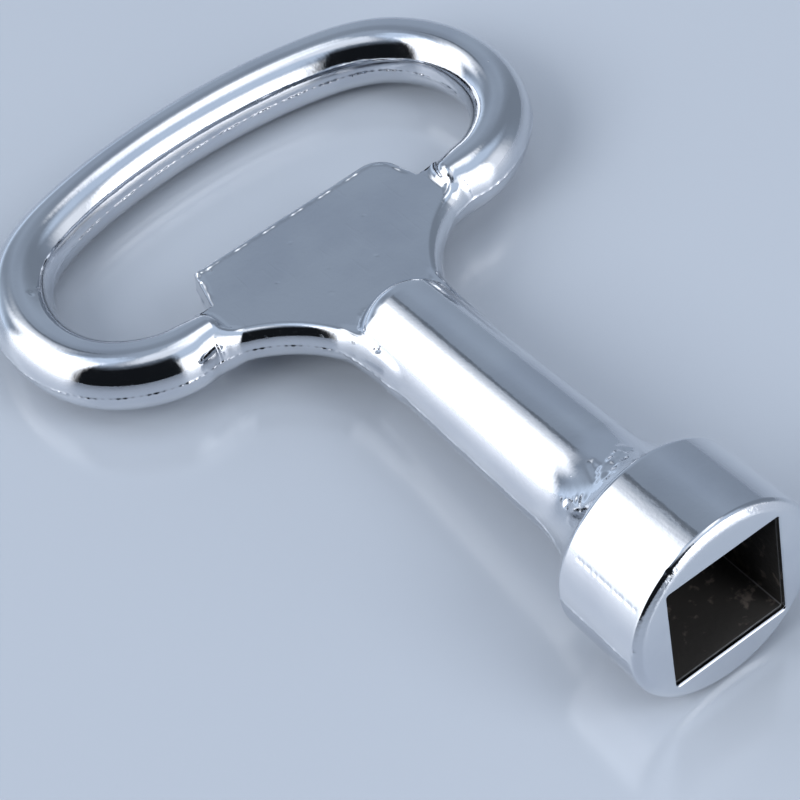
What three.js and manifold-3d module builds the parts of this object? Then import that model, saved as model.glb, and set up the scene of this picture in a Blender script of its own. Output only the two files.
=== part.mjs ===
// Square-socket bow key: one zinc die casting with a bright chrome plate.
//
// +X runs along the shank and out of the socket, +Y runs across the bow, and +Z is square
// to the flat web. The origin is the centre of the key's bounding box. Millimetres.
//
// The casting is modelled whole, as three.js solids joined together, and is then divided
// into its features on flat planes, so neighbouring features meet face to face.

import * as THREE from 'three';
import { mergeVertices } from 'three/addons/utils/BufferGeometryUtils.js';
import Module from 'manifold-3d';

// ---- Driving dimensions ----

const LENGTH = 68;              // outside of the bow to the face of the socket
const BOW_BAR_WIDTH = 4.8;      // the bow's oval bar, measured in the plane of the bow
const BOW_BAR_HEIGHT = 5.6;     // the same bar, measured square to that plane

const WEB_THICKNESS = 3.4;
const WEB_EDGE_ROUND = 0.5;
const TAB_EDGE_X = -16.75;      // straight edge of the web, inside the bow
const TAB_HALF_WIDTH = 8.8;     // half the length of that edge
const TAB_ROOT_X = -13.4;       // where the tab's slanting sides reach the bow's arms
const TAB_ROOT_Y = 9.7;
const ARM_END_Y = 10.625;       // where the bow's oval bar stops and the flat web starts
const ARM_OUTSIDE_X = -8.8;     // outer side of the bow's arms at that place

const SHANK_ROOT_RADIUS = 4.2;
const SHANK_WAIST_RADIUS = 4.7; // where the flare into the head starts
const SHANK_END_X = -4;         // the shank's domed end, standing on the web
const DOME_RADIUS = 2.3;
const NECK_END_X = 1.1;         // where the web's hollow sides run out into the shank
const FLARE_START_X = 18.5;
const FLARE_RADIUS = 12;        // arc of the shank's long flare into the head

const HEAD_REAR_X = 25.25;
const HEAD_REAR_RADIUS = 8.05;
const HEAD_FRONT_RADIUS = 8.25;
const HEAD_REAR_ROUND = 0.5;
const RIM_WIDTH = 0.75;         // the rounded rim between the head's side and its face
const RIM_DEPTH = 0.6;

const SOCKET_SQUARE = 10;       // across flats
const SOCKET_DEPTH = 7.5;

// Planes that divide the casting into its features
const TURN_START_Y = 14;        // grip bar | turns
const ARM_START_X = -16;        // turns | arms
const WEB_HALF_WIDTH = 10;      // web | arms
const SHANK_START_X = -4.25;    // web | shank
const HEAD_START_X = 25;        // shank | head, through the flare

// Number of facets
const BAR_QUARTER_SIDES = 5;
const BOW_STEPS = 72;
const ROUND_SIDES = 48;
const HOLLOW_STEPS = 10;

const FACE_X = LENGTH / 2;
const FAR_CENTRE_X = -LENGTH / 2 + BOW_BAR_WIDTH / 2;

// Middle line of the bow's bar on the +Y side, from the middle of the far bar round to
// the end of the arm.
const BOW_HALF_LINE = [
  [FAR_CENTRE_X, 0],
  [-31.3, 5.8],
  [-30.25, 11.8],
  [-27.95, 17.2],
  [-23.6, 20.4],
  [-18.4, 20.95],
  [-14.6, 19.4],
  [-12.5, 17.1],
  [-11.4, 14.6],
  [-11.1, 12.1],
  [-10.9, ARM_END_Y],
];

const chrome = {
  color: new THREE.Color(0.78, 0.8, 0.83),
  roughness: 0.08,
  metalness: 1,
};

const wasm = await Module();
wasm.setup();

// ---- From three.js geometry to a solid and back ----

function solidFrom(geometry) {
  const bare = geometry.index ? geometry.toNonIndexed() : geometry.clone();
  bare.deleteAttribute('normal');
  bare.deleteAttribute('uv');
  const merged = mergeVertices(bare, 1e-5);
  const triangles = [];
  const index = merged.index.array;
  for (let i = 0; i < index.length; i += 3) {
    const [a, b, c] = [index[i], index[i + 1], index[i + 2]];
    if (a !== b && b !== c && c !== a) triangles.push(a, b, c);
  }
  return new wasm.Manifold(new wasm.Mesh({
    numProp: 3,
    vertProperties: new Float32Array(merged.attributes.position.array),
    triVerts: new Uint32Array(triangles),
  }));
}

function geometryFrom(solid) {
  const mesh = solid.getMesh();
  const geometry = new THREE.BufferGeometry();
  geometry.setAttribute('position', new THREE.BufferAttribute(mesh.vertProperties, 3));
  geometry.setIndex(new THREE.BufferAttribute(mesh.triVerts, 1));
  geometry.computeVertexNormals();
  return geometry;
}

function block(min, max) {
  const size = [max[0] - min[0], max[1] - min[1], max[2] - min[2]];
  const geometry = new THREE.BoxGeometry(...size);
  geometry.translate(min[0] + size[0] / 2, min[1] + size[1] / 2, min[2] + size[2] / 2);
  return solidFrom(geometry);
}

// A profile of [x, radius] points turned round the X axis
function turned(profile) {
  const points = profile.map(([x, radius]) => new THREE.Vector2(radius, x));
  const geometry = new THREE.LatheGeometry(points, ROUND_SIDES);
  geometry.rotateZ(-Math.PI / 2);
  return solidFrom(geometry);
}

// Points on an arc, angles in degrees, both ends included
function arc(centreX, centreY, radius, from, to, count) {
  return Array.from({ length: count + 1 }, (_, i) => {
    const angle = THREE.MathUtils.degToRad(from + (to - from) * i / count);
    return [centreX + radius * Math.cos(angle), centreY + radius * Math.sin(angle)];
  });
}

// ---- Features of the casting ----

function bow() {
  const half = BOW_HALF_LINE.map(([x, y]) => new THREE.Vector3(x, y, 0));
  const mirrored = half.slice(1).map((p) => new THREE.Vector3(p.x, -p.y, 0)).reverse();
  const line = new THREE.CatmullRomCurve3([...mirrored, ...half], false, 'centripetal');
  const section = new THREE.Shape();
  section.absellipse(0, 0, BOW_BAR_HEIGHT / 2, BOW_BAR_WIDTH / 2, 0, 2 * Math.PI);
  const geometry = new THREE.ExtrudeGeometry(section, {
    steps: BOW_STEPS,
    curveSegments: 2 * BAR_QUARTER_SIDES,
    extrudePath: line,
  });
  return solidFrom(geometry);
}

// The flat web: a straight tab edge inside the bow, and hollow sides that sweep from
// the bow's arms into the shank. The hollow is an arc that ends along the shank's side.
function web() {
  const run = NECK_END_X - ARM_OUTSIDE_X;
  const rise = ARM_END_Y - SHANK_ROOT_RADIUS;
  const hollow = (run * run + rise * rise) / (2 * rise);
  const centreY = SHANK_ROOT_RADIUS + hollow;
  const startAngle = 180 + THREE.MathUtils.radToDeg(Math.asin((centreY - ARM_END_Y) / hollow));
  const half = [
    [TAB_EDGE_X, TAB_HALF_WIDTH],
    [TAB_ROOT_X, TAB_ROOT_Y],
    [TAB_ROOT_X, ARM_END_Y],
    ...arc(NECK_END_X, centreY, hollow, startAngle, 270, HOLLOW_STEPS),
  ];
  const outline = [...half, ...half.map(([x, y]) => [x, -y]).reverse()];
  const shape = new THREE.Shape(outline.map(([x, y]) => new THREE.Vector2(x, y)));
  const geometry = new THREE.ExtrudeGeometry(shape, {
    depth: WEB_THICKNESS - 2 * WEB_EDGE_ROUND,
    bevelThickness: WEB_EDGE_ROUND,
    bevelSize: WEB_EDGE_ROUND,
    bevelOffset: -WEB_EDGE_ROUND,
    bevelSegments: 3,
  });
  geometry.translate(0, 0, WEB_EDGE_ROUND - WEB_THICKNESS / 2);
  return solidFrom(geometry);
}

// The round shank, from its domed end on the web to the end of its flare at the head
function shankBar() {
  const flareSine = (HEAD_REAR_X - FLARE_START_X) / FLARE_RADIUS;
  const flareEnd = 270 + THREE.MathUtils.radToDeg(Math.asin(flareSine));
  return turned([
    [SHANK_END_X, 0],
    ...arc(SHANK_END_X + DOME_RADIUS, SHANK_ROOT_RADIUS - DOME_RADIUS, DOME_RADIUS, 180, 90, 6),
    ...arc(FLARE_START_X, SHANK_WAIST_RADIUS + FLARE_RADIUS, FLARE_RADIUS, 270, flareEnd, 6),
    [HEAD_REAR_X, 0],
  ]);
}

function head() {
  const socketHalf = SOCKET_SQUARE / 2;
  const body = turned([
    [HEAD_REAR_X, 0],
    ...arc(HEAD_REAR_X + HEAD_REAR_ROUND, HEAD_REAR_RADIUS - HEAD_REAR_ROUND, HEAD_REAR_ROUND, 180, 90, 3),
    [FACE_X - RIM_DEPTH, HEAD_FRONT_RADIUS],
    [FACE_X - 0.3 * RIM_DEPTH, HEAD_FRONT_RADIUS - 0.3 * RIM_WIDTH],
    [FACE_X, HEAD_FRONT_RADIUS - RIM_WIDTH],
    [FACE_X, 0],
  ]);
  const socket = block(
    [FACE_X - SOCKET_DEPTH, -socketHalf, -socketHalf],
    [FACE_X + 1, socketHalf, socketHalf],
  );
  return body.subtract(socket);
}

const casting = bow().add(web()).add(shankBar()).add(head());

// ---- The casting, divided into its features ----

const BEYOND = LENGTH;
const INSIDE_BOW_X = TAB_EDGE_X - 5;

const key = new THREE.Group();

function addFeature(name, fromX, toX, fromY, toY) {
  const span = block([fromX, fromY, -BEYOND], [toX, toY, BEYOND]);
  const geometry = geometryFrom(casting.intersect(span));
  const mesh = new THREE.Mesh(geometry, new THREE.MeshStandardMaterial(chrome));
  mesh.name = name;
  key.add(mesh);
}

addFeature('bow_grip_bar', -BEYOND, INSIDE_BOW_X, -TURN_START_Y, TURN_START_Y);
addFeature('bow_turn_left', -BEYOND, ARM_START_X, TURN_START_Y, BEYOND);
addFeature('bow_turn_right', -BEYOND, ARM_START_X, -BEYOND, -TURN_START_Y);
addFeature('bow_arm_left', ARM_START_X, SHANK_START_X, WEB_HALF_WIDTH, BEYOND);
addFeature('bow_arm_right', ARM_START_X, SHANK_START_X, -BEYOND, -WEB_HALF_WIDTH);
addFeature('web_plate', INSIDE_BOW_X, SHANK_START_X, -WEB_HALF_WIDTH, WEB_HALF_WIDTH);
addFeature('shank', SHANK_START_X, HEAD_START_X, -WEB_HALF_WIDTH, WEB_HALF_WIDTH);
addFeature('socket_head', HEAD_START_X, BEYOND, -WEB_HALF_WIDTH, WEB_HALF_WIDTH);

export default key;
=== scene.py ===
# Square-socket bow key: the fine skin of one chrome-plated zinc casting, on a pale table.
#
# The casting is one distance field, in millimetres, negative inside the metal. Its skin is
# a net round the bow, the web and the shank's root, and turned rings from there to the
# socket. It is divided on the planes that divide the CAD part, so each piece stands for one
# node, and the field gives the normals, so reflections run across the joints unbroken.

import math

import bmesh
import bpy
import numpy as np
from mathutils import Matrix, Vector


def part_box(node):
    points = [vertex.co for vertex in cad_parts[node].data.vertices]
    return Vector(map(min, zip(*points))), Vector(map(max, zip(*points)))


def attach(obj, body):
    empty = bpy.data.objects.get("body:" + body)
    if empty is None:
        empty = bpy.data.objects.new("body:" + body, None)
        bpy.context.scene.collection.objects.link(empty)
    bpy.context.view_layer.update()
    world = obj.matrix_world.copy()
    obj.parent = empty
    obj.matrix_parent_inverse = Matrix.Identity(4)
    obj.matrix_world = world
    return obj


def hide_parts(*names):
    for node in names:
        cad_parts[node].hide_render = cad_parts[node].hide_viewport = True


MM = 0.001

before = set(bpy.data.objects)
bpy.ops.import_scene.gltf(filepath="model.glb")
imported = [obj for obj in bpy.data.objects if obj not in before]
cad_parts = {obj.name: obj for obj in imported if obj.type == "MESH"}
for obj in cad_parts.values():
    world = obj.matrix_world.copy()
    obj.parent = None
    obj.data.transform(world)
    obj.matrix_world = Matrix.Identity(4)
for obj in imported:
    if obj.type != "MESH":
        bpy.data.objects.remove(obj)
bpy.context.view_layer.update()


def box_mm(node):
    """Lowest and highest corner of a CAD node, in millimetres."""
    low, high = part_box(node)
    return np.array(low) / MM, np.array(high) / MM


grip_low, grip_high = box_mm("bow_grip_bar")
turn_low, turn_high = box_mm("bow_turn_left")
web_low, web_high = box_mm("web_plate")
shank_high = box_mm("shank")[1]
head_low, head_high = box_mm("socket_head")

# ---- Sizes in millimetres ----

TURN_START_Y = turn_low[1]          # planes that divide the casting into its features
ARM_START_X = turn_high[0]
WEB_HALF_WIDTH = web_high[1]
SHANK_START_X = web_high[0]
HEAD_START_X = shank_high[0]

BAR_HALF_HEIGHT = grip_high[2]      # the bow's oval bar
FAR_CENTRE_X = grip_low[0] + 2.4
ARM_END_Y = 10.65                   # the bar's inner side stops here, in a rounded tip on the web
ARM_TIP_ROUND = 0.9
ARM_RUN_OUT = 1.7                   # the bar's outer side runs on this much further, and softer,
ARM_RUN_OUT_ROUND = 2.3             # into the edge of the hollow side
ARM_RUN_OUT_SPAN = (-10.3, -8.9)
ARM_FILLET = 0.6                    # between the bar and the web

# Middle line of the bar on the +Y side, from the middle of the far bar into the web
BOW_HALF_LINE = [
    (FAR_CENTRE_X, 0), (-31.3, 5.8), (-30.25, 11.8), (-27.95, 17.2), (-23.6, 20.4), (-18.4, 20.95),
    (-14.6, 19.4), (-12.5, 17.1), (-11.4, 14.6), (-11.1, 12.1), (-10.9, 10.625), (-10.5, 8.9),
]

# The bar's half width along that line: distance from the middle of the far bar, half width
BAR_WIDTHS = [(0, 2.28), (9, 2.3), (20, 2.48), (32, 2.45), (39.3, 2.35), (42, 1.95)]

WEB_HALF_THICKNESS = web_high[2]
TAB_EDGE_X = web_low[0]             # straight edge of the web, inside the bow
TAB_HALF_WIDTH = 8.95
TAB_ROOT_X = -13.4                  # where the tab's slanting sides reach the bow's arms
TAB_ROOT_Y = 9.85
TAB_SOFT_CORNER = 1.7               # one corner of the tab is worn round, the other is crisp
TAB_CRISP_CORNER = 0.25
TAB_EDGE_ROUND = 0.25
TAB_OVERLAP = 1.0                   # how far the web runs on inside the arms, from this x:
TAB_OVERLAP_START_X = TAB_ROOT_X + 0.6
WALL_DRAFT = 0.05                   # how far the tab's walls lean in for each mm of height
HOLLOW_EDGE_ROLL = 1.0              # the hollow sides roll over to the faces
HOLLOW_START_X = -8.8
NECK_END_X = 1.1                    # where the hollow sides run out into the shank
NECK_SINK = 0.2                     # how far inside the shank's side they end
WEB_BLEND = 0.25                    # blend between web and shank on the faces
NECK_BLEND = 1.5                    # and beside the shank
TAB_BURR = 0.08                     # raised edge left on the tab by the die
TAB_BURR_INSET = 0.36
TAB_BURR_WIDTH = 0.17
TAB_BURR_FADE = (TAB_ROOT_X + 0.2, TAB_ROOT_X - 0.8)

SHANK_END_X = -4.0                  # the shank's domed end, standing on the web
SHANK_ROOT_RADIUS = 4.2
SHANK_WAIST_RADIUS = 4.7            # where the flare into the head starts
DOME_RADIUS = 2.3
FLARE_START_X = 18.5
FLARE_RADIUS = 12.0
HEAD_CREASE = 0.3                   # fillet between the flare and the head's rear face

FACE_X = head_high[0]
HEAD_REAR_X = HEAD_START_X + 0.25   # the head's rear face, just past the dividing plane
HEAD_REAR_RADIUS = 8.05
HEAD_FRONT_RADIUS = head_high[1]
HEAD_REAR_ROUND = 0.6
RIM_WIDTH = 0.75                    # the chamfer between the head's side and its face
RIM_DEPTH = 0.38
RIM_OUTER_ROUND = 0.24
RIM_INNER_ROUND = 0.1
SOCKET_HALF = 5.0
SOCKET_DEPTH = 7.5
SOCKET_CORNER = 0.3
SOCKET_MOUTH_ROUND = 0.18

SEAM_HEIGHT = 0.09                  # ridge left on the middle plane where the die's halves met
SEAM_HALF_WIDTH = 0.14
SEAM_END_X = FACE_X - 0.6

# Cold-shut marks on the shank's flare and on the head: x, angle round the axis in degrees,
# spread and height
ROUND_MARKS = [
    (21.6, 139.5, 0.34, 0.08), (22.05, 136, 0.36, 0.07), (22.6, 131.5, 0.38, 0.09), (23.2, 126, 0.34, 0.07),
    (22.0, 138, 0.26, -0.15), (22.75, 129, 0.24, -0.09), (21.4, 101.5, 0.28, -0.09),
    (21.8, 103.5, 0.28, -0.12), (22.2, 105.5, 0.28, -0.12), (22.1, 101.5, 0.26, -0.07),
    (22.6, 107.5, 0.28, -0.1), (23.0, 110, 0.28, -0.06),
    (22.5, 90, 0.34, 0.16), (22.15, 82, 0.32, 0.15), (21.7, 75, 0.32, 0.08), (22.5, 75, 0.3, -0.12),
    (22.9, 84, 0.3, -0.12), (23.1, 95, 0.32, -0.1), (23.5, 104, 0.32, -0.07),
    (33.72, 123, 0.2, -0.1), (33.72, 171, 0.2, 0.08),
]
# A broken line of fine pits along the head: x of each, all at one angle round the axis
PIT_LINE_ANGLE = 148.0
PIT_LINE = (26.9, 27.3, 27.8, 28.1, 28.7, 29.2, 29.5, 29.9, 30.2, 30.8, 31.2, 31.5, 32.1, 32.4, 32.9)
PIT_SPREAD = 0.15
PIT_DEPTH = 0.035
# Pits and lumps on the bow and web: x, y, z, spread and height
FLAT_MARKS = [
    (-9.45, 10.95, 2.05, 0.32, -0.15), (-10.35, -10.95, 2.1, 0.24, -0.08),
    (-16.45, -8.45, 1.7, 0.2, 0.07), (-16.0, -8.75, 1.7, 0.2, -0.06), (-15.5, -9.0, 1.7, 0.16, 0.06),
    (-15.9, -7.9, 1.7, 0.15, -0.05), (-4.05, -1.4, 1.75, 0.2, -0.07), (-4.05, -1.9, 1.75, 0.22, -0.1),
    (-3.95, -2.4, 1.75, 0.2, -0.08), (-0.3, -3.85, 1.85, 0.2, -0.07), (-0.05, -3.8, 1.95, 0.2, -0.05),
    (-23.13, -19.39, 2.52, 0.2, -0.13), (-23.47, -18.66, 2.21, 0.18, 0.05),
    (-9.6, -1.2, 1.7, 0.1, 0.025), (-12.2, 4.1, 1.7, 0.1, 0.025), (-11.2, -4.9, 1.7, 0.1, 0.025),
    (-7.4, -2.6, 1.7, 0.12, -0.025), (-13.9, -1.7, 1.7, 0.1, 0.02), (-8.1, 2.2, 1.7, 0.1, 0.02),
]

# ---- Mesh fineness in millimetres ----

CELL = 0.2
FINE_CELL = 0.07
SEAM_CELL = 0.05
LATHE_START_X = 2.0                 # the skin is a grid net behind this plane, rings before it
RING_STEP = 0.4
FLARE_RING_STEP = 0.15
SOCKET_COLUMNS = 60                 # columns along one side of the socket
CLOSE_COLUMNS = 13                  # closer columns where the seam and pits cross the head
CORNER_COLUMNS = 5
PLAN_STEP = 0.25                    # grid that holds the nearest place on the bow's line


# ---- The distance field ----

def joined(a, b, radius):
    """Union of two bodies, with a fillet where they meet."""
    inside = np.hypot(np.maximum(radius - a, 0), np.maximum(radius - b, 0))
    return np.maximum(np.minimum(a, b), radius) - inside


def blended(a, b, width):
    """Union of two bodies that cross at a shallow angle, smoothed over a wide strip."""
    return np.minimum(a, b) - np.maximum(width - np.abs(a - b), 0) ** 2 / (4 * width)


def common(a, b, radius):
    """What two bodies share, with a rounded edge where they meet."""
    outside = np.hypot(np.maximum(a + radius, 0), np.maximum(b + radius, 0))
    return np.minimum(np.maximum(a, b), -radius) + outside


def oval(u, v, half_u, half_v):
    """Distance from an ellipse, near its outline."""
    level = np.hypot(u / half_u, v / half_v)
    slope = np.hypot(u / half_u**2, v / half_v**2) + 1e-9
    return level * (level - 1) / slope


def step_between(value, start, end):
    """0 at start and 1 at end, smooth between them."""
    share = np.clip((value - start) / (end - start), 0, 1)
    return share * share * (3 - 2 * share)


def smooth_table(value, table):
    """Value looked up in a table of (place, height) rows, smooth between the rows."""
    height = np.full(np.shape(value), float(table[0][1]))
    for (start, low), (end, high) in zip(table, table[1:]):
        height += (high - low) * step_between(value, start, end)
    return height


class Spline:
    """Natural cubic spline through the half line and its mirror image, from y = 0 onwards."""

    def __init__(self, half_line):
        half = np.array(half_line, float)
        points = np.vstack([half[:0:-1] * [1, -1], half])
        along = np.r_[0, np.cumsum(np.linalg.norm(np.diff(points, axis=0), axis=1))]
        step = np.diff(along)
        count = len(points)
        matrix = np.eye(count)
        right = np.zeros((count, 2))
        for i in range(1, count - 1):
            matrix[i, i - 1:i + 2] = step[i - 1], 2 * (step[i - 1] + step[i]), step[i]
            rise = (points[i + 1] - points[i]) / step[i] - (points[i] - points[i - 1]) / step[i - 1]
            right[i] = 6 * rise
        bend = np.linalg.solve(matrix, right)
        middle = len(half) - 1
        self.along = along[middle:] - along[middle]
        self.points = points[middle:]
        self.bend = bend[middle:]
        samples = np.linspace(0, self.along[-1], 400)
        sampled = self.at(samples)[0]
        self.low = sampled.min(0) - 4
        columns, rows = np.ceil((sampled.max(0) + 4 - self.low) / PLAN_STEP).astype(int)
        plan = np.stack(np.meshgrid(np.arange(columns), np.arange(rows), indexing="ij"), -1)
        apart = (plan * PLAN_STEP + self.low)[:, :, None] - sampled
        self.nearest = samples[(apart**2).sum(3).argmin(2)]

    def at(self, t):
        """Point, first and second derivative at each t."""
        i = np.clip(np.searchsorted(self.along, t, side="right") - 1, 0, len(self.along) - 2)
        h = (self.along[i + 1] - self.along[i])[:, None]
        a = (self.along[i + 1] - t)[:, None] / h
        b = 1 - a
        p, q, m, n = self.points[i], self.points[i + 1], self.bend[i], self.bend[i + 1]
        point = a * p + b * q + ((a**3 - a) * m + (b**3 - b) * n) * h * h / 6
        slope = (q - p) / h + ((3 * b * b - 1) * n - (3 * a * a - 1) * m) * h / 6
        return point, slope, a * m + b * n

    def distance(self, x, y):
        """Distance in plan from the line, and where along it the nearest point is."""
        place = np.stack([x, np.abs(y)], 1)
        cell = np.rint((place - self.low) / PLAN_STEP).astype(int)
        cell = np.clip(cell, 0, np.array(self.nearest.shape) - 1)
        near = self.nearest[cell[:, 0], cell[:, 1]]
        for _ in range(3):
            point, slope, bend = self.at(near)
            away = point - place
            steep = (slope**2).sum(1) + (away * bend).sum(1)
            near = np.clip(near - (away * slope).sum(1) / np.maximum(steep, 0.2), -0.5, self.along[-1])
        near = np.clip(near, 0, self.along[-1])
        return np.linalg.norm(self.at(near)[0] - place, axis=1), near

    def side(self, x, y):
        """Distance from the line with a sign: which side of it the point lies on."""
        distance, near = self.distance(x, y)
        point, slope, _ = self.at(near)
        turn = slope[:, 0] * (np.abs(y) - point[:, 1]) - slope[:, 1] * (x - point[:, 0])
        return distance * np.sign(turn), near


bow_line = Spline(BOW_HALF_LINE)


def bow_field(x, y, z):
    """The bow's oval bar, with its two ends rounded off in the web."""
    off_line, near = bow_line.distance(x, y)
    bar = oval(off_line, z, smooth_table(near, BAR_WIDTHS), BAR_HALF_HEIGHT)
    outer = step_between(x, *ARM_RUN_OUT_SPAN)
    past_end = ARM_END_Y - ARM_RUN_OUT * outer - np.abs(y)
    round_the_bow = x < ARM_START_X - 2
    past_end = np.where(round_the_bow, -BAR_HALF_HEIGHT * 2, past_end)
    return common(bar, past_end, ARM_TIP_ROUND + (ARM_RUN_OUT_ROUND - ARM_TIP_ROUND) * outer)


def web_field(x, y, z):
    """The flat web: hollow sides that sweep into the shank, and the tab inside the bow."""
    side = np.abs(y)
    end_y = SHANK_ROOT_RADIUS - NECK_SINK
    run = NECK_END_X - HOLLOW_START_X
    rise = ARM_END_Y - end_y
    radius = (run**2 + rise**2) / (2 * rise)
    centre_y = end_y + radius
    hollow = radius - np.hypot(x - NECK_END_X, side - centre_y)
    sunk = side - end_y + (x - NECK_END_X)**2 / 4
    hollow = np.where(x > NECK_END_X, sunk, hollow)
    beyond = (x < NECK_END_X) & (side > centre_y)
    hollow = np.where(beyond, np.maximum(hollow, x - HOLLOW_START_X), hollow)

    slant = np.array([TAB_HALF_WIDTH - TAB_ROOT_Y, TAB_ROOT_X - TAB_EDGE_X])
    slant = slant / np.linalg.norm(slant)
    off_slant = (x - TAB_EDGE_X) * slant[0] + (side - TAB_HALF_WIDTH) * slant[1]
    under_arm = np.minimum(off_slant, side - ARM_END_Y - TAB_OVERLAP)
    off_slant = np.where(x > TAB_OVERLAP_START_X, under_arm, off_slant)
    corner = np.where(y > 0, TAB_SOFT_CORNER, TAB_CRISP_CORNER)
    tab = common(TAB_EDGE_X - x, off_slant, corner) + WALL_DRAFT * np.abs(z)
    ragged = 0.6 + 0.25 * np.sin(2.3 * (x + y)) + 0.15 * np.sin(7.1 * y - 3.1 * x)
    burr = TAB_BURR * ragged * np.exp(-((tab + TAB_BURR_INSET) / TAB_BURR_WIDTH) ** 2)
    burr *= step_between(x, *TAB_BURR_FADE)
    height = np.abs(z) - burr
    plate = common(tab, height - WEB_HALF_THICKNESS, TAB_EDGE_ROUND)
    inset = np.maximum(hollow + HOLLOW_EDGE_ROLL, 0)
    return np.maximum(plate, oval(inset, height, HOLLOW_EDGE_ROLL, WEB_HALF_THICKNESS))


def shank_radius(x):
    """Radius of the shank: slightly tapered, then flared towards the head."""
    straight_start = SHANK_END_X + DOME_RADIUS
    share = np.clip((x - straight_start) / (FLARE_START_X - straight_start), 0, 1)
    flare = np.clip(x - FLARE_START_X, 0, 0.7 * FLARE_RADIUS)
    straight = SHANK_ROOT_RADIUS + (SHANK_WAIST_RADIUS - SHANK_ROOT_RADIUS) * share
    return straight + FLARE_RADIUS - np.sqrt(FLARE_RADIUS**2 - flare**2)


def head_radius(x):
    share = np.clip((x - HEAD_REAR_X) / (FACE_X - HEAD_REAR_X), 0, 1.1)
    return HEAD_REAR_RADIUS + (HEAD_FRONT_RADIUS - HEAD_REAR_RADIUS) * share


def shank_field(x, y, z):
    """The shank with its domed end, closed inside the head."""
    bar = common(np.hypot(y, z) - shank_radius(x), SHANK_END_X - x, DOME_RADIUS)
    return np.maximum(bar, x - HEAD_REAR_X - 1)


def head_field(x, y, z):
    """The head without its socket."""
    off_axis = np.hypot(y, z)
    barrel = common(off_axis - head_radius(x), HEAD_REAR_X - x, HEAD_REAR_ROUND)
    past_rim = (x - FACE_X) * RIM_WIDTH + (off_axis - HEAD_FRONT_RADIUS + RIM_WIDTH) * RIM_DEPTH
    chamfer = past_rim / math.hypot(RIM_WIDTH, RIM_DEPTH)
    return common(common(barrel, chamfer, RIM_OUTER_ROUND), x - FACE_X, RIM_INNER_ROUND)


def socket_field(x, y, z):
    """The square socket, negative inside the hole."""
    corner = np.stack([np.abs(y), np.abs(z)], 1) - SOCKET_HALF + SOCKET_CORNER
    outline = np.linalg.norm(np.maximum(corner, 0), axis=1) + np.minimum(corner.max(1), 0) - SOCKET_CORNER
    return np.maximum(outline, FACE_X - SOCKET_DEPTH - x)


def neck_blend(x, y, z):
    """Width of the blend between web and shank: small on the faces, wide along the neck."""
    beside = step_between(np.abs(y), 3.2, 4.2) * step_between(np.abs(z), 3.2, 2.2)
    return WEB_BLEND + (NECK_BLEND - WEB_BLEND) * beside


def smooth_field(points):
    """Distance from the casting's skin without its marks, negative inside the metal."""
    x, y, z = points.T
    field = joined(shank_field(x, y, z), head_field(x, y, z), HEAD_CREASE)
    field = common(field, -socket_field(x, y, z), SOCKET_MOUTH_ROUND)
    behind = x < LATHE_START_X + 2
    x, y, z = points[behind].T
    field[behind] = blended(field[behind], web_field(x, y, z), neck_blend(x, y, z))
    bow_side = points[:, 0] < SHANK_END_X
    x, y, z = points[bow_side].T
    field[bow_side] = joined(field[bow_side], bow_field(x, y, z), ARM_FILLET)
    return field


def round_mark_place(x, angle):
    """The place on the shank or head at this x and angle round the axis."""
    radius = float(shank_radius(x)) if x < HEAD_REAR_X else float(head_radius(x))
    turn = math.radians(angle)
    return x, radius * math.cos(turn), radius * math.sin(turn)


MARKS = [(round_mark_place(x, angle), spread, height) for x, angle, spread, height in ROUND_MARKS]
MARKS += [(round_mark_place(x, PIT_LINE_ANGLE), PIT_SPREAD, -PIT_DEPTH) for x in PIT_LINE]
MARKS += [((x, y, z), spread, height) for x, y, z, spread, height in FLAT_MARKS]


def casting_field(points):
    """Distance from the casting's skin with the die's seam and the marks on it."""
    field = smooth_field(points)
    x, y, z = points.T
    along = x + 1.1 * y
    height = SEAM_HEIGHT * (0.55 + 0.25 * np.sin(1.7 * along + 1) + 0.2 * np.sin(7.3 * along))
    outside_socket = 1 - step_between(x, SEAM_END_X - 0.3, SEAM_END_X)
    outside_socket *= step_between(np.maximum(np.abs(y) - SOCKET_HALF, HEAD_REAR_X - x), 0.2, 0.8)
    field -= height * outside_socket * np.exp(-((z / SEAM_HALF_WIDTH) ** 2))
    for centre, spread, rise in MARKS:
        close = np.abs(x - centre[0]) < 3 * spread
        away = ((points[close] - centre) ** 2).sum(1)
        field[close] -= rise * np.exp(-away / spread**2)
    return field


def slope_of(field, points, step=0.01):
    """Gradient of a field at each point."""
    slope = np.empty_like(points)
    for axis in range(3):
        shift = np.zeros(3)
        shift[axis] = step
        slope[:, axis] = (field(points + shift) - field(points - shift)) / (2 * step)
    return slope


def settled(field, points, rounds=3):
    """The points moved along the field's slope onto its zero surface."""
    for _ in range(rounds):
        slope = slope_of(field, points)
        points = points - slope * (field(points) / np.maximum((slope**2).sum(1), 0.05))[:, None]
    return points


def directions(field, points):
    """Unit normals of a field's surface."""
    slope = slope_of(field, points)
    return slope / np.maximum(np.linalg.norm(slope, axis=1), 1e-9)[:, None]


# ---- Meshing ----

def graded_axis(low, high, fine_spans):
    """Grid lines from low to high, closer together inside the fine spans."""
    lines = [low]
    while lines[-1] < high:
        steps = [step for start, end, step in fine_spans if start <= lines[-1] < end]
        lines.append(lines[-1] + min(steps, default=CELL))
    return np.array(lines)


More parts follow.
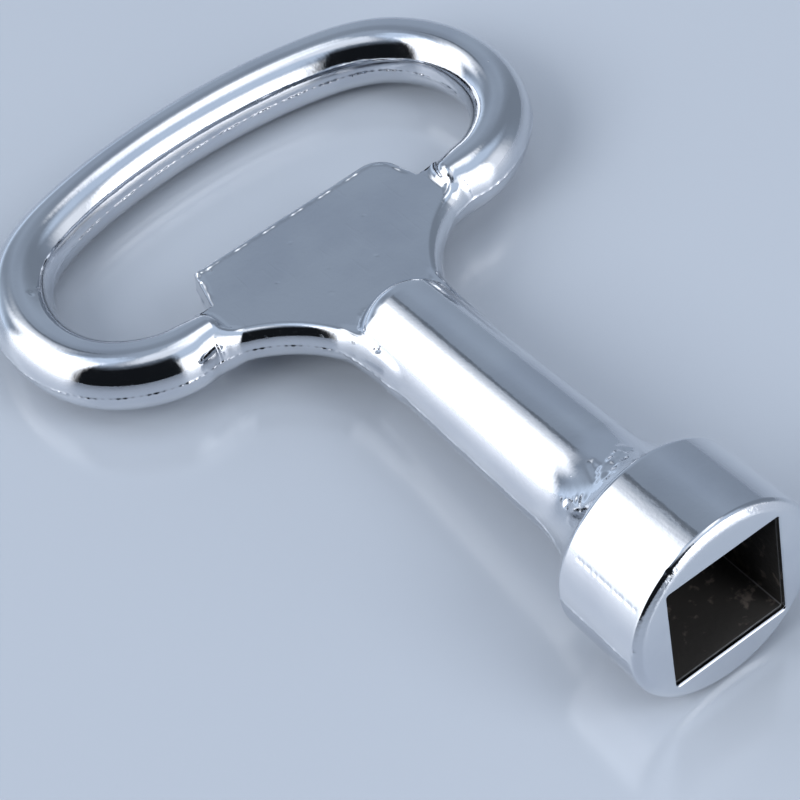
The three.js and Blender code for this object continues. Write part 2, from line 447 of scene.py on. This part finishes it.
def surface_net(field, axes):
    """Vertices and quads on the field's zero surface: one vertex to each grid cell it crosses."""
    grid = np.stack(np.meshgrid(*axes, indexing="ij"), -1)
    shape = grid.shape[:3]
    value = np.concatenate([field(part) for part in np.array_split(grid.reshape(-1, 3), 24)])
    value = value.reshape(shape)
    cells = np.array(shape) - 1
    keys, points = [], []
    for axis in range(3):
        across, up = (axis + 1) % 3, (axis + 2) % 3
        low = np.take(value, range(shape[axis] - 1), axis)
        high = np.take(value, range(1, shape[axis]), axis)
        crossed = (low < 0) != (high < 0)
        index = np.argwhere(crossed)
        before, after = low[crossed], high[crossed]
        point = np.stack([axes[n][index[:, n]] for n in range(3)], 1)
        gap = axes[axis][index[:, axis] + 1] - point[:, axis]
        point[:, axis] += gap * before / (before - after)
        offsets = np.zeros((4, 3), int)
        offsets[:, across] = 1, 0, 0, 1
        offsets[:, up] = 1, 1, 0, 0
        around = index[:, None] - offsets[None]
        around[before > 0] = around[before > 0][:, ::-1]
        whole = ((around >= 0) & (around < cells)).all((1, 2))
        keys.append(np.ravel_multi_index(np.moveaxis(around[whole], 2, 0), cells))
        points.append(np.repeat(point[whole][:, None], 4, 1).reshape(-1, 3))
    _, which = np.unique(np.concatenate(keys).ravel(), return_inverse=True)
    points = np.concatenate(points)
    total = np.stack([np.bincount(which, points[:, n]) for n in range(3)], 1)
    return total / np.bincount(which)[:, None], which.reshape(-1, 4)


def relaxed(vertices, quads, rounds=2):
    """Each vertex moved half way to the middle of its neighbours, then back onto the skin."""
    ends = np.concatenate([quads[:, [n, (n + 1) % 4]] for n in range(4)])
    for _ in range(rounds):
        count = np.bincount(ends[:, 0], minlength=len(vertices))
        total = [np.bincount(ends[:, 0], vertices[ends[:, 1], n], len(vertices)) for n in range(3)]
        middle = np.stack(total, 1) / np.maximum(count, 1)[:, None]
        vertices = settled(casting_field, (vertices + middle) / 2, 1)
    return settled(casting_field, vertices, 2)


def skin_behind_lathe():
    """The bow, web and root of the shank, as one net."""
    margin = 2 * CELL
    face = WEB_HALF_THICKNESS
    edge = (face - 0.5, face + 0.25, FINE_CELL)
    low_edge = (-edge[1], -edge[0], FINE_CELL)
    seam = (-2.2 * SEAM_HALF_WIDTH, 2.2 * SEAM_HALF_WIDTH, SEAM_CELL)
    tab_edge = (TAB_EDGE_X - 0.2, TAB_EDGE_X + 0.8, FINE_CELL)
    tab_side = (TAB_HALF_WIDTH - 0.6, TAB_ROOT_Y + 0.1, FINE_CELL)
    far_tab_side = (-tab_side[1], -tab_side[0], FINE_CELL)
    reach = SHANK_WAIST_RADIUS + margin
    axes = [
        graded_axis(grip_low[0] - margin, LATHE_START_X + 3 * CELL, [tab_edge]),
        graded_axis(-turn_high[1] - margin, turn_high[1] + margin, [tab_side, far_tab_side]),
        graded_axis(-reach, reach, [edge, low_edge, seam]),
    ]
    vertices, quads = surface_net(smooth_field, axes)
    return relaxed(settled(casting_field, vertices), quads), quads


def part_of_skin(vertices, quads, low, high):
    """A bmesh of the skin inside a box, open where the box cuts it."""
    near = ((vertices > low - 1) & (vertices < high + 1)).all(1)
    chosen = quads[near[quads].all(1)]
    used, chosen = np.unique(chosen, return_inverse=True)
    chosen = chosen.reshape(-1, 4)
    mesh = bmesh.new()
    corners = [mesh.verts.new(point) for point in vertices[used]]
    for quad in chosen:
        mesh.faces.new([corners[n] for n in quad])
    for axis in range(3):
        for limit, sign in ((low[axis], -1), (high[axis], 1)):
            normal = np.zeros(3)
            normal[axis] = sign
            everything = mesh.verts[:] + mesh.edges[:] + mesh.faces[:]
            place = normal * sign * limit
            bmesh.ops.bisect_plane(
                mesh, geom=everything, dist=1e-5, plane_co=place, plane_no=normal, clear_outer=True
            )
    return mesh


def add_ring(mesh, points, before):
    """A ring of vertices, joined with quads to the ring before it."""
    ring = [mesh.verts.new(point) for point in points]
    for n in range(len(ring)):
        after = (n + 1) % len(ring)
        mesh.faces.new([before[n], before[after], ring[after], ring[n]])
    return ring


def circle_points(x, radius, angles):
    """Points on a circle round the axis."""
    return np.stack([np.full(len(angles), x), radius * np.cos(angles), radius * np.sin(angles)], 1)


def add_shank_rings(mesh):
    """The turned part of the shank, from the net's open edge to the head's plane."""
    edge = [v for v in mesh.verts if abs(v.co.x - LATHE_START_X) < 1e-4]
    edge.sort(key=lambda v: math.atan2(v.co.z, v.co.y))
    angles = np.array([math.atan2(v.co.z, v.co.y) for v in edge])
    count = round((FLARE_START_X - LATHE_START_X) / RING_STEP)
    flare_count = round((HEAD_START_X - FLARE_START_X) / FLARE_RING_STEP)
    places = np.r_[
        np.linspace(LATHE_START_X, FLARE_START_X, count + 1)[1:],
        np.linspace(FLARE_START_X, HEAD_START_X, flare_count + 1)[1:],
    ]
    rings = np.array([circle_points(x, float(shank_radius(x)), angles) for x in places])
    rings = settled(casting_field, rings.reshape(-1, 3)).reshape(rings.shape)
    rings[:, :, 0] = places[:, None]
    ring = edge
    for points in rings:
        ring = add_ring(mesh, points, ring)


def socket_outline(count):
    """Unit outline of the square socket, as directions scaled so that its flats are at 1."""
    corner = SOCKET_CORNER / SOCKET_HALF
    seam = 2.5 * SEAM_HALF_WIDTH / HEAD_REAR_RADIUS
    pits = math.tan(math.radians(180 - PIT_LINE_ANGLE))
    reach = 2.5 * PIT_SPREAD / HEAD_REAR_RADIUS
    flat = np.linspace(-1 + corner, 1 - corner, count)
    for middle, half in ((0, seam), (pits, reach), (-pits, reach)):
        flat = np.union1d(flat, np.linspace(middle - half, middle + half, CLOSE_COLUMNS))
    side = np.stack([np.ones(len(flat)), flat], 1)
    turn = np.linspace(0, math.pi / 2, CORNER_COLUMNS + 2)[1:-1]
    bend = np.stack([np.cos(turn), np.sin(turn)], 1) * corner + 1 - corner
    quarter = np.vstack([side, bend])
    quarters = []
    for n in range(4):
        cos, sin = round(math.cos(n * math.pi / 2)), round(math.sin(n * math.pi / 2))
        quarters.append(quarter @ np.array([[cos, sin], [-sin, cos]]))
    return np.vstack(quarters)


def arc(centre_x, centre_r, radius, start, end, count):
    """Profile points (x, r) on an arc, angles in degrees from +X towards the outside."""
    angles = np.radians(np.linspace(start, end, count + 1))
    return [(centre_x + radius * math.cos(a), centre_r + radius * math.sin(a)) for a in angles]


def between(start, end, step):
    """Points on a straight line, about a step apart, without the last."""
    count = max(round(math.dist(start, end) / step), 1)
    return [tuple(p) for p in np.linspace(start, end, count + 1)[:-1]]


def head_profile():
    """Profile of the head from the flare, over the outside, to the chamfer's inner edge."""
    flare_start = (HEAD_START_X, float(shank_radius(HEAD_START_X)))
    flare_end = (HEAD_REAR_X, float(shank_radius(HEAD_REAR_X)))
    rear_r = HEAD_REAR_RADIUS - HEAD_REAR_ROUND
    side_start = (HEAD_REAR_X + HEAD_REAR_ROUND, HEAD_REAR_RADIUS)
    side_end = (FACE_X - RIM_DEPTH - 2 * RIM_OUTER_ROUND, HEAD_FRONT_RADIUS)
    outer_edge = (FACE_X - RIM_DEPTH, HEAD_FRONT_RADIUS)
    inner_edge = (FACE_X, HEAD_FRONT_RADIUS - RIM_WIDTH)
    flat_start = (FACE_X, inner_edge[1] - 2 * RIM_INNER_ROUND)
    return (
        between(flare_start, flare_end, 0.06)
        + between(flare_end, (HEAD_REAR_X, rear_r), 0.07)
        + arc(HEAD_REAR_X + HEAD_REAR_ROUND, rear_r, HEAD_REAR_ROUND, 180, 90, 8)[:-1]
        + between(side_start, side_end, 0.16)
        + between(side_end, outer_edge, 0.05)
        + between(outer_edge, inner_edge, 0.06)
        + between(inner_edge, flat_start, 0.05)
        + [flat_start]
    )


def head_mesh():
    """The head as rings, over the outside, across the face and down into the socket."""
    outline = socket_outline(SOCKET_COLUMNS)
    angles = np.arctan2(outline[:, 1], outline[:, 0])
    mouth = SOCKET_HALF + SOCKET_MOUTH_ROUND
    floor_x = FACE_X - SOCKET_DEPTH

    def square(x, half):
        return np.column_stack([np.full(len(outline), x), outline * half])

    outside = np.array([circle_points(x, r, angles) for x, r in head_profile()])
    rim = outside[-1]
    outside = settled(casting_field, outside.reshape(-1, 3)).reshape(outside.shape)
    outside[0, :, 0] = HEAD_START_X
    outside[-1] = rim
    rings = list(outside)
    rings += [rim + (square(FACE_X, mouth) - rim) * share for share in np.linspace(0, 1, 7)[1:]]
    wall_x = FACE_X - SOCKET_MOUTH_ROUND
    rings += [square(x, r) for x, r in arc(wall_x, mouth, SOCKET_MOUTH_ROUND, 0, -90, 4)[1:]]
    rings += [square(x, SOCKET_HALF) for x in np.linspace(wall_x, floor_x, 20)[1:]]
    rings += [square(floor_x, SOCKET_HALF * share) for share in (0.75, 0.5, 0.25)]
    mesh = bmesh.new()
    ring = [mesh.verts.new(point) for point in rings[0]]
    for points in rings[1:]:
        ring = add_ring(mesh, points, ring)
    return mesh


# ---- Pieces ----

def closed(mesh):
    """Fills each open edge with a flat face and turns every face outwards."""
    skin = set(mesh.faces)
    edge = [e for e in mesh.edges if e.is_boundary]
    bmesh.ops.holes_fill(mesh, edges=edge, sides=0)
    bmesh.ops.recalc_face_normals(mesh, faces=mesh.faces[:])
    for face in mesh.faces:
        face.smooth = face in skin


def along_grain(points):
    """Place in millimetres with the first axis along the bar or shank, and how polished it is."""
    x, y, z = points.T
    grain = points.copy()
    polish = step_between(x, SHANK_END_X, SHANK_END_X + 1)
    on_bow = (x < SHANK_END_X) & ((np.abs(y) > ARM_END_Y) | (x < TAB_EDGE_X - 1))
    across, near = bow_line.side(x[on_bow], y[on_bow])
    grain[on_bow] = np.stack([near * np.sign(y[on_bow] + 1e-9), across, z[on_bow]], 1)
    polish[on_bow] = 1 - step_between(near, bow_line.along[-1] - 3.5, bow_line.along[-1] - 2.2)
    return grain, polish


def values_of(items, name, width=1, kind=float):
    """One property of every mesh item, as an array with a row to each item."""
    values = np.zeros(len(items) * width, kind)
    items.foreach_get(name, values)
    return values.reshape(-1, width)


def add_piece(name, mesh, material):
    """Closes a bmesh in millimetres and makes it the piece that stands for a CAD node."""
    closed(mesh)
    data = bpy.data.meshes.new(name)
    mesh.to_mesh(data)
    mesh.free()
    points = values_of(data.vertices, "co", 3)
    normals = directions(casting_field, points)
    sides = values_of(data.polygons, "loop_total", kind=int)[:, 0]
    vertex = values_of(data.loops, "vertex_index", kind=int)[:, 0]
    on_skin = np.repeat(values_of(data.polygons, "use_smooth", kind=bool), sides, axis=0)
    face_normal = np.repeat(values_of(data.polygons, "normal", 3), sides, axis=0)
    data.polygons.foreach_set("use_smooth", np.ones(len(data.polygons), bool))
    data.vertices.foreach_set("co", (points * MM).ravel())
    data.normals_split_custom_set(np.where(on_skin, normals[vertex], face_normal))
    grain, polish = along_grain(points)
    data.attributes.new("grain", "FLOAT_VECTOR", "POINT").data.foreach_set("vector", grain.ravel())
    data.attributes.new("polish", "FLOAT", "POINT").data.foreach_set("value", polish)
    data.update()
    piece = bpy.data.objects.new(name + "_skin", data)
    bpy.context.scene.collection.objects.link(piece)
    data.materials.append(material)
    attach(piece, "root")
    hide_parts(name)
    return piece


def add_pieces(material):
    """Makes the eight pieces of the casting, one to each CAD node."""
    far = 2 * FACE_X
    inside_bow_x = grip_high[0]
    vertices, quads = skin_behind_lathe()
    boxes = {
        "bow_grip_bar": ((-far, -TURN_START_Y, -far), (inside_bow_x, TURN_START_Y, far)),
        "bow_turn_left": ((-far, TURN_START_Y, -far), (ARM_START_X, far, far)),
        "bow_turn_right": ((-far, -far, -far), (ARM_START_X, -TURN_START_Y, far)),
        "bow_arm_left": ((ARM_START_X, WEB_HALF_WIDTH, -far), (SHANK_START_X, far, far)),
        "bow_arm_right": ((ARM_START_X, -far, -far), (SHANK_START_X, -WEB_HALF_WIDTH, far)),
        "web_plate": ((inside_bow_x, -WEB_HALF_WIDTH, -far), (SHANK_START_X, WEB_HALF_WIDTH, far)),
    }
    for name, (low, high) in boxes.items():
        add_piece(name, part_of_skin(vertices, quads, np.array(low), np.array(high)), material)
    root_low = np.array((SHANK_START_X, -WEB_HALF_WIDTH, -far))
    root = part_of_skin(vertices, quads, root_low, np.array((LATHE_START_X, WEB_HALF_WIDTH, far)))
    add_shank_rings(root)
    add_piece("shank", root, material)
    add_piece("socket_head", head_mesh(), material)


# ---- Node helpers ----

def add_node(tree, kind, settings=None, **inputs):
    """A node with its settings and inputs; an input is a value or another node's output."""
    node = tree.nodes.new(kind)
    for name, value in (settings or {}).items():
        setattr(node, name, value)
    for name, value in inputs.items():
        put(tree, node.inputs[name.replace("_", " ")], value)
    return node


def put(tree, socket, value):
    if isinstance(value, bpy.types.NodeSocket):
        tree.links.new(value, socket)
    else:
        socket.default_value = value


def calc(tree, operation, *values):
    """A maths node's output."""
    node = tree.nodes.new("ShaderNodeMath")
    node.operation = operation
    for socket, value in zip(node.inputs, values):
        put(tree, socket, value)
    return node.outputs[0]


def eased(tree, value, low, high, start=0.0, end=1.0):
    """value taken smoothly from start at low to end at high, and held outside."""
    node = add_node(
        tree, "ShaderNodeMapRange", {"interpolation_type": "SMOOTHSTEP"},
        Value=value, From_Min=low, From_Max=high, To_Min=start, To_Max=end,
    )
    return node.outputs["Result"]


def noise(tree, place, scale, detail=2.0, roughness=0.5):
    """A noise texture's value; scale is in repeats to a metre."""
    node = add_node(
        tree, "ShaderNodeTexNoise", Vector=place, Scale=scale, Detail=detail, Roughness=roughness
    )
    return node.outputs["Fac"]


def new_material(name):
    """A new material, its node tree and its shader."""
    material = bpy.data.materials.new(name)
    material.use_nodes = True
    tree = material.node_tree
    shader = tree.nodes["Principled BSDF"]
    return material, tree, shader


# ---- Materials ----

CHROME = (0.72, 0.74, 0.77, 1)
CHROME_SHADE = (0.66, 0.68, 0.72, 1)
# Painted shade: a near-black colour, with lighter specks, that stands for the shade on the socket's deep
# walls.
SOCKET_PAINTED_SHADE = (0.06, 0.056, 0.053, 1)
SOCKET_SHADE_SPECK = (0.2, 0.17, 0.15, 1)
# Painted highlight: a pale grey for a line of reflected light along one inner corner of the socket.
PAINTED_CORNER_HIGHLIGHT = (0.4, 0.4, 0.42, 1)


def mixed(tree, share, first, second):
    """Colour between two colours."""
    node = tree.nodes.new("ShaderNodeMix")
    node.data_type = "RGBA"
    put(tree, node.inputs["Factor"], share)
    colours = [socket for socket in node.inputs if socket.type == "RGBA"]
    put(tree, colours[0], first)
    put(tree, colours[1], second)
    return [socket for socket in node.outputs if socket.type == "RGBA"][0]


def scaled(tree, place, scale):
    """A place multiplied by a scale on each axis."""
    node = add_node(tree, "ShaderNodeVectorMath", {"operation": "MULTIPLY"})
    put(tree, node.inputs[0], place)
    put(tree, node.inputs[1], scale)
    return node.outputs[0]


def total(tree, values):
    result = values[0]
    for value in values[1:]:
        result = calc(tree, "ADD", result, value)
    return result


def product(tree, *values):
    result = values[0]
    for value in values[1:]:
        result = calc(tree, "MULTIPLY", result, value)
    return result


def chrome_material():
    """Bright chrome on a die casting; inside the socket it is rougher and less metallic, and coloured with
    a painted near-black shade and a painted highlight along one inner corner.
    """
    material, tree, shader = new_material("polished_chrome")
    place = add_node(tree, "ShaderNodeTexCoord").outputs["Object"]
    parts = add_node(tree, "ShaderNodeSeparateXYZ", Vector=place)
    x, y, z = parts.outputs["X"], parts.outputs["Y"], parts.outputs["Z"]
    grain = add_node(tree, "ShaderNodeAttribute", {"attribute_name": "grain"}).outputs["Vector"]
    polish = add_node(tree, "ShaderNodeAttribute", {"attribute_name": "polish"}).outputs["Fac"]

    off_axis = calc(tree, "SQRT", total(tree, [product(tree, y, y), product(tree, z, z)]))
    square = calc(tree, "MAXIMUM", calc(tree, "ABSOLUTE", y), calc(tree, "ABSOLUTE", z))
    lip = (FACE_X - 0.55) * MM
    inside = product(
        tree,
        eased(tree, square, (SOCKET_HALF + 0.1) * MM, (SOCKET_HALF + 0.3) * MM, 1.0, 0.0),
        eased(tree, x, HEAD_START_X * MM, (HEAD_START_X + 1) * MM),
        eased(tree, x, lip, lip + 0.25 * MM, 1.0, 0.0),
    )
    rim_radius = HEAD_FRONT_RADIUS - RIM_WIDTH
    on_rim = product(
        tree,
        eased(tree, x, (FACE_X - RIM_DEPTH - 0.1) * MM, (FACE_X - RIM_DEPTH + 0.1) * MM),
        eased(tree, off_axis, (rim_radius - 0.15) * MM, rim_radius * MM),
    )
    flat_face = eased(tree, polish, 0.1, 0.5, 1.0, 0.0)

    cell = add_node(tree, "ShaderNodeTexVoronoi", Vector=place, Scale=620.0)
    chosen = add_node(tree, "ShaderNodeSeparateColor", Color=cell.outputs["Color"]).outputs[0]
    speck = product(
        tree,
        eased(tree, cell.outputs["Distance"], 0.02, 0.07, 1.0, 0.0),
        calc(tree, "GREATER_THAN", chosen, 0.86),
    )
    scratch_place = scaled(tree, place, (260.0, 2600.0, 2600.0))
    scratch = eased(tree, noise(tree, scratch_place, 1.0, 1.0), 0.66, 0.7)

    # heights of the relief in metres
    relief = total(tree, [
        product(tree, noise(tree, place, 300, 1.0), 1.3e-5),
        product(tree, noise(tree, place, 2400, 2.0), 0.5e-5),
        product(tree, noise(tree, scaled(tree, grain, (0.08, 1.6, 1.6)), 1.0, 2.0), polish, 0.7e-5),
        product(tree, noise(tree, place, 2600, 2.0), on_rim, 2.2e-5),
        product(tree, noise(tree, place, 1500, 3.0), inside, 6e-5),
        product(tree, speck, 2.6e-5),
        product(tree, scratch, flat_face, -0.25e-5),
    ])
    bump = add_node(tree, "ShaderNodeBump", Strength=1.0, Distance=1.0, Height=relief)
    tree.links.new(bump.outputs[0], shader.inputs["Normal"])

    shade = eased(tree, noise(tree, place, 160, 3.0), 0.35, 0.7)
    plated = mixed(tree, shade, CHROME, CHROME_SHADE)
    # Painted shade for the socket's walls: near-black with lighter specks, in place of the chrome's colour.
    rough_spots = eased(tree, noise(tree, place, 1100, 3.0), 0.58, 0.72)
    painted_socket_shade = mixed(tree, rough_spots, SOCKET_PAINTED_SHADE, SOCKET_SHADE_SPECK)
    # Painted highlight: the socket's inner corner at +Y, -Z is coloured pale, as a line of reflected light.
    corner = product(
        tree,
        eased(tree, y, (SOCKET_HALF - 0.16) * MM, (SOCKET_HALF - 0.06) * MM),
        eased(tree, z, (0.06 - SOCKET_HALF) * MM, (0.16 - SOCKET_HALF) * MM, 1.0, 0.0),
    )
    painted_socket_shade = mixed(tree, corner, painted_socket_shade, PAINTED_CORNER_HIGHLIGHT)
    # Inside the socket the painted shade replaces the chrome's colour.
    tree.links.new(mixed(tree, inside, plated, painted_socket_shade), shader.inputs["Base Color"])

    worn = total(tree, [
        eased(tree, noise(tree, place, 700, 3.0), 0.3, 0.75, 0.035, 0.1),
        product(tree, scratch, flat_face, 0.1),
        product(tree, speck, 0.1),
    ])
    keep = calc(tree, "SUBTRACT", 1.0, inside)
    roughness = total(tree, [product(tree, worn, keep), product(tree, inside, 0.42)])
    tree.links.new(roughness, shader.inputs["Roughness"])
    tree.links.new(eased(tree, inside, 0.0, 1.0, 1.0, 0.5), shader.inputs["Metallic"])
    return material


TABLE = (0.36, 0.394, 0.449, 1)
TABLE_SHADE = (0.347, 0.381, 0.437, 1)


def table_material():
    """A pale lacquered board, glossy enough to show soft reflections."""
    material, tree, shader = new_material("pale_table")
    place = add_node(tree, "ShaderNodeTexCoord").outputs["Object"]
    cloud = eased(tree, noise(tree, place, 9, 3.0), 0.35, 0.65)
    tree.links.new(mixed(tree, cloud, TABLE, TABLE_SHADE), shader.inputs["Base Color"])
    smears = eased(tree, noise(tree, place, 60, 3.0), 0.3, 0.7, 0.16, 0.2)
    tree.links.new(smears, shader.inputs["Roughness"])
    shader.inputs["IOR"].default_value = 1.7
    return material


BACKDROP = (0.5, 0.55, 0.62, 1)
BACKDROP_SHADE = (0.47, 0.52, 0.59, 1)


def backdrop_material():
    material, tree, shader = new_material("pale_backdrop")
    place = add_node(tree, "ShaderNodeTexCoord").outputs["Object"]
    cloud = eased(tree, noise(tree, place, 2, 2.0), 0.3, 0.7)
    tree.links.new(mixed(tree, cloud, BACKDROP, BACKDROP_SHADE), shader.inputs["Base Color"])
    shader.inputs["Roughness"].default_value = 0.9
    return material


# ---- Table, light and camera ----

TABLE_HALF = 2.0
BACKDROP_RADIUS = 1.8
BACKDROP_HEIGHTS = (-0.6, 2.4)
TABLE_GAP = 0.07 * MM               # room for the seam under the key


def add_stage_object(name, corners, faces, material):
    """A mesh of the studio, which is no part of the key."""
    data = bpy.data.meshes.new(name)
    data.from_pydata([tuple(c) for c in corners], [], faces)
    stage = bpy.data.objects.new(name, data)
    bpy.context.scene.collection.objects.link(stage)
    data.materials.append(material)
    return stage


def add_table(material):
    """A level table that the key lies on: it touches the socket's rim and the far bar."""
    rim = Vector((FACE_X - RIM_DEPTH, 0, head_low[2])) * MM
    bar = Vector((FAR_CENTRE_X, 0, grip_low[2])) * MM
    along = (rim - bar).normalized() * TABLE_HALF
    up = Vector((-along.z, 0, along.x)).normalized()
    side = Vector((0, TABLE_HALF, 0))
    middle = rim - up * TABLE_GAP
    corners = [middle + along * a + side * b for a, b in ((-1, -1), (1, -1), (1, 1), (-1, 1))]
    add_stage_object("table", corners, [(0, 1, 2, 3)], material)


def add_backdrop(material):
    """A pale wall round the table that only the camera sees."""
    sides = 96
    corners = []
    for height in BACKDROP_HEIGHTS:
        for n in range(sides):
            turn = 2 * math.pi * n / sides
            corners.append((BACKDROP_RADIUS * math.cos(turn), BACKDROP_RADIUS * math.sin(turn), height))
    faces = [(n, (n + 1) % sides, sides + (n + 1) % sides, sides + n) for n in range(sides)]
    wall = add_stage_object("backdrop", corners, faces, material)
    for polygon in wall.data.polygons:
        polygon.use_smooth = True
    wall.visible_diffuse = False
    wall.visible_glossy = False
    wall.visible_transmission = False
    wall.visible_shadow = False


SKY = (0.272, 0.325, 0.405)
PANEL = (1.0, 1.0, 1.02)

# Windows of the studio, in degrees of azimuth and elevation: centre, half size, softness
# and strength. Windows add up.
# The sky's windows change its level, which is 1 elsewhere.
SKY_WINDOWS = [
    ((148, 20), (22, 26), (10, 12), 0.3),
    ((-161, 20), (10, 12), (8, 10), 0.45),
    ((-168, 0), (28, 12), (9, 8), 1.7),
    ((95, 20), (20, 35), (12, 15), -0.2),
    ((35, 50), (42, 14), (14, 8), 1.2),
    ((-112, 68), (38, 12), (12, 6), 1.3),
    ((180, 84), (180, 12), (10, 8), 0.4),
    ((173, 54), (3.5, 8), (2.5, 4), -0.5),
]
DARK_WINDOW = ((-46, 8), (42, 48), (5, 12), 0.97)
PANEL_WINDOWS = [
    ((-113, 25), (26, 39), (6, 9), 1.6),
    ((-146, 42), (16, 12), (8, 8), 1.1),
    ((-150, 50), (26, 9), (14, 7), 0.75),
    ((17, 11), (20, 21), (5, 9), 2.2),
    ((42, 10), (18, 20), (12, 10), 0.7),
    ((30, 74), (90, 12), (20, 6), 0.6),
    ((70, 70), (42, 8), (15, 5), 0.6),
]


def add_world():
    """The studio as the chrome mirrors it: pale walls, white panels and one dark opening."""
    world = bpy.data.worlds.new("studio")
    world.use_nodes = True
    bpy.context.scene.world = world
    tree = world.node_tree
    direction = add_node(tree, "ShaderNodeTexCoord").outputs["Generated"]
    parts = add_node(tree, "ShaderNodeSeparateXYZ", Vector=direction)
    azimuth = calc(tree, "ARCTAN2", parts.outputs["Y"], parts.outputs["X"])
    elevation = calc(tree, "ARCSINE", parts.outputs["Z"])

    def window(centre, half, soft, strength):
        """strength inside an azimuth and elevation window, fading to 0 over soft."""
        faded = [strength]
        for value, middle, reach, edge in zip((azimuth, elevation), centre, half, soft):
            off = calc(tree, "SUBTRACT", value, math.radians(middle))
            off = calc(tree, "ABSOLUTE", calc(tree, "WRAP", off, math.pi, -math.pi))
            faded.append(eased(tree, off, math.radians(reach - edge), math.radians(reach + edge), 1.0, 0.0))
        return product(tree, *faded)

    light = calc(tree, "SUBTRACT", 1.0, window(*DARK_WINDOW))
    sky = product(tree, total(tree, [1.0] + [window(*row) for row in SKY_WINDOWS]), light)
    panels = total(tree, [window(*row) for row in PANEL_WINDOWS])
    coloured = []
    for colour, strength in ((SKY, sky), (PANEL, panels)):
        node = add_node(tree, "ShaderNodeVectorMath", {"operation": "SCALE"}, Scale=strength)
        node.inputs[0].default_value = colour
        coloured.append(node.outputs[0])
    both = add_node(tree, "ShaderNodeVectorMath", {"operation": "ADD"})
    put(tree, both.inputs[0], coloured[0])
    put(tree, both.inputs[1], coloured[1])
    tree.links.new(both.outputs[0], tree.nodes["Background"].inputs["Color"])


# Soft lights for the table, which the chrome does not mirror: place in metres, size, power
TABLE_LIGHTS = {
    "top_light": ((0.1, 0.1, 1.0), 1.0, 1.5),
    "side_light": ((0.05, -0.68, 0.55), 0.5, 5.0),
    "front_light": ((0.6, 0.3, 0.6), 0.4, 2.4),
}


def add_table_lights():
    """The soft lights, each turned towards the key."""
    for name, (place, size, power) in TABLE_LIGHTS.items():
        data = bpy.data.lights.new(name, "AREA")
        data.shape = "DISK"
        data.size = size
        data.energy = power
        data.color = (0.97, 0.99, 1.0)
        light = bpy.data.objects.new(name, data)
        light.location = place
        light.rotation_euler = Vector(place).to_track_quat("Z", "Y").to_euler()
        light.visible_glossy = False
        light.visible_camera = False
        bpy.context.scene.collection.objects.link(light)


# The photographer's view: place in millimetres, the directions of the picture's right and
# down, and the lens in millimetres on a 36 mm sensor
CAMERA_PLACE = (145.613, -85.249, 177.642)
CAMERA_RIGHT = (0.6078, 0.7831, -0.1317)
CAMERA_DOWN = (0.5324, -0.5249, -0.6641)
CAMERA_LENS = 148.81
CAMERA_SENSOR = 36


def add_camera():
    data = bpy.data.cameras.new("camera")
    data.lens = CAMERA_LENS
    data.sensor_width = CAMERA_SENSOR
    data.clip_start = 0.01
    data.clip_end = 20
    camera = bpy.data.objects.new("camera", data)
    right = Vector(CAMERA_RIGHT).normalized()
    up = -Vector(CAMERA_DOWN)
    back = right.cross(up).normalized()
    up = back.cross(right)
    turn = Matrix((right, up, back)).transposed().to_4x4()
    camera.matrix_world = Matrix.Translation(Vector(CAMERA_PLACE) * MM) @ turn
    bpy.context.scene.collection.objects.link(camera)
    bpy.context.scene.camera = camera


add_camera()
add_pieces(chrome_material())
add_table(table_material())
add_backdrop(backdrop_material())
add_world()
add_table_lights()
bpy.context.scene.view_settings.view_transform = "Standard"
